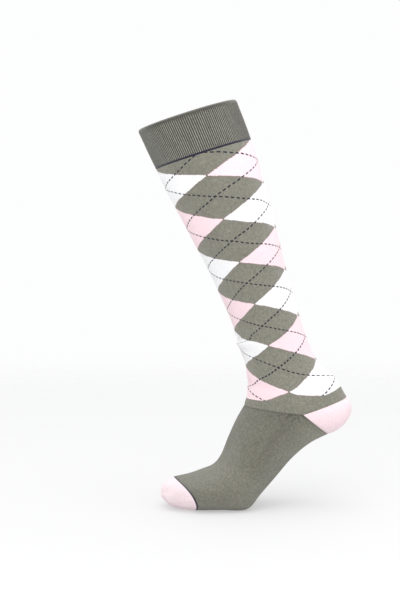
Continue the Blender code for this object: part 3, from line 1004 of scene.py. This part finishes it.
def smooth_between(value, knots):
    """Smooth reading of a table of (place, value) pairs."""
    i = 0
    while i < len(knots) - 2 and value > knots[i + 1][0]:
        i += 1
    slopes = []
    for k in (i, i + 1):
        low, high = knots[max(k - 1, 0)], knots[min(k + 1, len(knots) - 1)]
        slopes.append((high[1] - low[1]) / (high[0] - low[0]))
    span = knots[i + 1][0] - knots[i][0]
    ease = smooth_weights((value - knots[i][0]) / span)
    return (
        ease[0] * knots[i][1]
        + ease[1] * span * slopes[0]
        + ease[2] * knots[i + 1][1]
        + ease[3] * span * slopes[1]
    )


class SOCK_OT_toe(bpy.types.Operator):
    """Closed toe cap"""

    bl_idname = "sock.toe"
    bl_label = "Toe"

    def execute(self, context):
        sizes, colours = context.scene.sock_sizes, context.scene.sock_colours
        run = lower_run(sizes)
        start, tip = run.at[len(FOOT_ROWS) - 1], run.at[-1]
        cloth = Cloth()
        for place in reversed(stations(start, tip, TOE_STEP)):
            points = ring(run, place, 0.0)
            counts = cap_counts(sizes, place, start)
            cloth.add(placed(sizes, points), counts)
        cloth.start_inner()
        for place in stations(start, tip - sizes.wall, 3 * TOE_STEP)[:-1]:
            points = ring(run, place, sizes.wall)
            cloth.add(placed(sizes, points), cap_counts(sizes, place, start))
        last = run.read(tip - sizes.wall)
        pole = on_course(last, 0.0, last.width)
        cloth.add(placed(sizes, [pole] * (ROUND_COLUMNS + 1)), cap_counts(sizes, tip, start))
        materials = (plain_knit("toe_knit", colours.toe), reverse_knit("toe_inside", colours.pink))
        dress(cloth.make("toe_knit", materials), "toe")
        return {"FINISHED"}


def cap_counts(sizes, distance, start):
    """Knitting counts of the toe cap."""
    along = (distance - start) / row_height(sizes)
    return [(-4 * i / ROUND_COLUMNS, along) for i in range(ROUND_COLUMNS + 1)]


class SOCK_OT_studio(bpy.types.Operator):
    """Pale floor, soft light and camera"""

    bl_idname = "sock.studio"
    bl_label = "Studio"

    def execute(self, context):
        scene, studio = context.scene, context.scene.studio
        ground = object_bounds()[0][2]
        lay_floor(studio, ground)
        light_world(scene, studio)
        add_area_light("key_light", *KEY_LIGHT, 1.8, studio.key_power)
        add_area_light("top_light", *TOP_LIGHT, 1.4, studio.top_power)
        add_area_light("fill_light", *FILL_LIGHT, 1.2, studio.fill_power)
        camera_data = bpy.data.cameras.new("camera")
        camera_data.sensor_fit = "VERTICAL"
        camera_data.sensor_height = 36.0
        camera_data.lens = camera_data.sensor_height * studio.focal_share
        camera = bpy.data.objects.new("camera", camera_data)
        camera.location = (studio.camera_x, studio.camera_y, studio.camera_z)
        camera.rotation_euler = (math.radians(90.0 - studio.camera_pitch), 0.0, 0.0)
        scene.collection.objects.link(camera)
        scene.camera = camera
        scene.view_settings.view_transform = "Standard"
        return {"FINISHED"}


def lay_floor(studio, ground):
    """Wide round floor that fades into the backdrop away from the sock."""
    bm = bmesh.new()
    bmesh.ops.create_circle(bm, cap_ends=True, radius=FLOOR_RADIUS, segments=96)
    bmesh.ops.translate(bm, verts=bm.verts, vec=(0.0, 0.0, ground - FLOOR_GAP))
    mesh = bpy.data.meshes.new("floor")
    bm.to_mesh(mesh)
    bm.free()
    net = Net("floor")
    net.shader.inputs["Base Color"].default_value = (*studio.floor, 1.0)
    net.shader.inputs["Emission Color"].default_value = (*studio.sky, 1.0)
    net.shader.inputs["Emission Strength"].default_value = studio.floor_glow
    net.shader.inputs["Roughness"].default_value = 0.8
    net.shader.inputs["Specular IOR Level"].default_value = 0.2
    away = net.tree.nodes.new("ShaderNodeVectorMath")
    away.operation = "LENGTH"
    net.feed(away.inputs[0], net.place())
    blend = net.tree.nodes.new("ShaderNodeMixShader")
    net.feed(blend.inputs[0], net.ramp(away.outputs["Value"], FADE_START, FADE_END))
    net.feed(blend.inputs[1], net.shader.outputs[0])
    net.feed(blend.inputs[2], net.tree.nodes.new("ShaderNodeBsdfTransparent").outputs[0])
    net.feed(net.tree.nodes["Material Output"].inputs["Surface"], blend.outputs[0])
    mesh.materials.append(net.material)
    floor = bpy.data.objects.new("floor", mesh)
    bpy.context.scene.collection.objects.link(floor)
    floor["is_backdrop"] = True


def light_world(scene, studio):
    """Even light from all round, and the pale backdrop that is seen."""
    world = bpy.data.worlds.new("studio")
    world.use_nodes = True
    tree = world.node_tree
    light = tree.nodes["Background"]
    backdrop = tree.nodes.new("ShaderNodeBackground")
    for node, strength in ((light, studio.sky_strength), (backdrop, 1.0)):
        node.inputs["Color"].default_value = (*studio.sky, 1.0)
        node.inputs["Strength"].default_value = strength
    blend = tree.nodes.new("ShaderNodeMixShader")
    tree.links.new(tree.nodes.new("ShaderNodeLightPath").outputs["Is Camera Ray"], blend.inputs[0])
    tree.links.new(light.outputs[0], blend.inputs[1])
    tree.links.new(backdrop.outputs[0], blend.inputs[2])
    tree.links.new(blend.outputs[0], tree.nodes["World Output"].inputs["Surface"])
    scene.world = world


def add_area_light(name, place, target, size, power):
    """Square soft light at a place, turned to a target."""
    data = bpy.data.lights.new(name, "AREA")
    data.energy = power
    data.size = size
    light = bpy.data.objects.new(name, data)
    light.location = place
    light.rotation_euler = (Vector(target) - Vector(place)).to_track_quat("-Z", "Y").to_euler()
    bpy.context.scene.collection.objects.link(light)


class SOCK_PT_panel(bpy.types.Panel):
    """Sizes, colours and pieces of the sock"""

    bl_idname = "SOCK_PT_panel"
    bl_label = "Argyle Knee Sock"
    bl_space_type = "VIEW_3D"
    bl_region_type = "UI"
    bl_category = "Sock"

    def draw(self, context):
        layout = self.layout
        for settings in (context.scene.sock_sizes, context.scene.sock_colours, context.scene.studio):
            box = layout.box()
            for key in settings.__annotations__:
                box.prop(settings, key)
        for operator in OPERATORS:
            layout.operator(operator.bl_idname)


OPERATORS = (
    SOCK_OT_cuff, SOCK_OT_stripes, SOCK_OT_leg, SOCK_OT_foot, SOCK_OT_heel, SOCK_OT_toe, SOCK_OT_studio,
)
CLASSES = (SockSizes, SockColours, StudioSettings, *OPERATORS, SOCK_PT_panel)


def register():
    """Add the classes and their settings."""
    for item in CLASSES:
        bpy.utils.register_class(item)
    bpy.types.Scene.sock_sizes = PointerProperty(type=SockSizes)
    bpy.types.Scene.sock_colours = PointerProperty(type=SockColours)
    bpy.types.Scene.studio = PointerProperty(type=StudioSettings)


def unregister():
    """Take the classes and their settings away."""
    del bpy.types.Scene.studio
    del bpy.types.Scene.sock_colours
    del bpy.types.Scene.sock_sizes
    for item in reversed(CLASSES):
        bpy.utils.unregister_class(item)


def main():
    """Add the settings, and model the sock and its studio."""
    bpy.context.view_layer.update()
    register()
    bpy.ops.sock.studio()
    bpy.ops.sock.cuff()
    bpy.ops.sock.stripes()
    bpy.ops.sock.leg()
    bpy.ops.sock.foot()
    bpy.ops.sock.heel()
    bpy.ops.sock.toe()


if __name__ == "__main__":
    main()
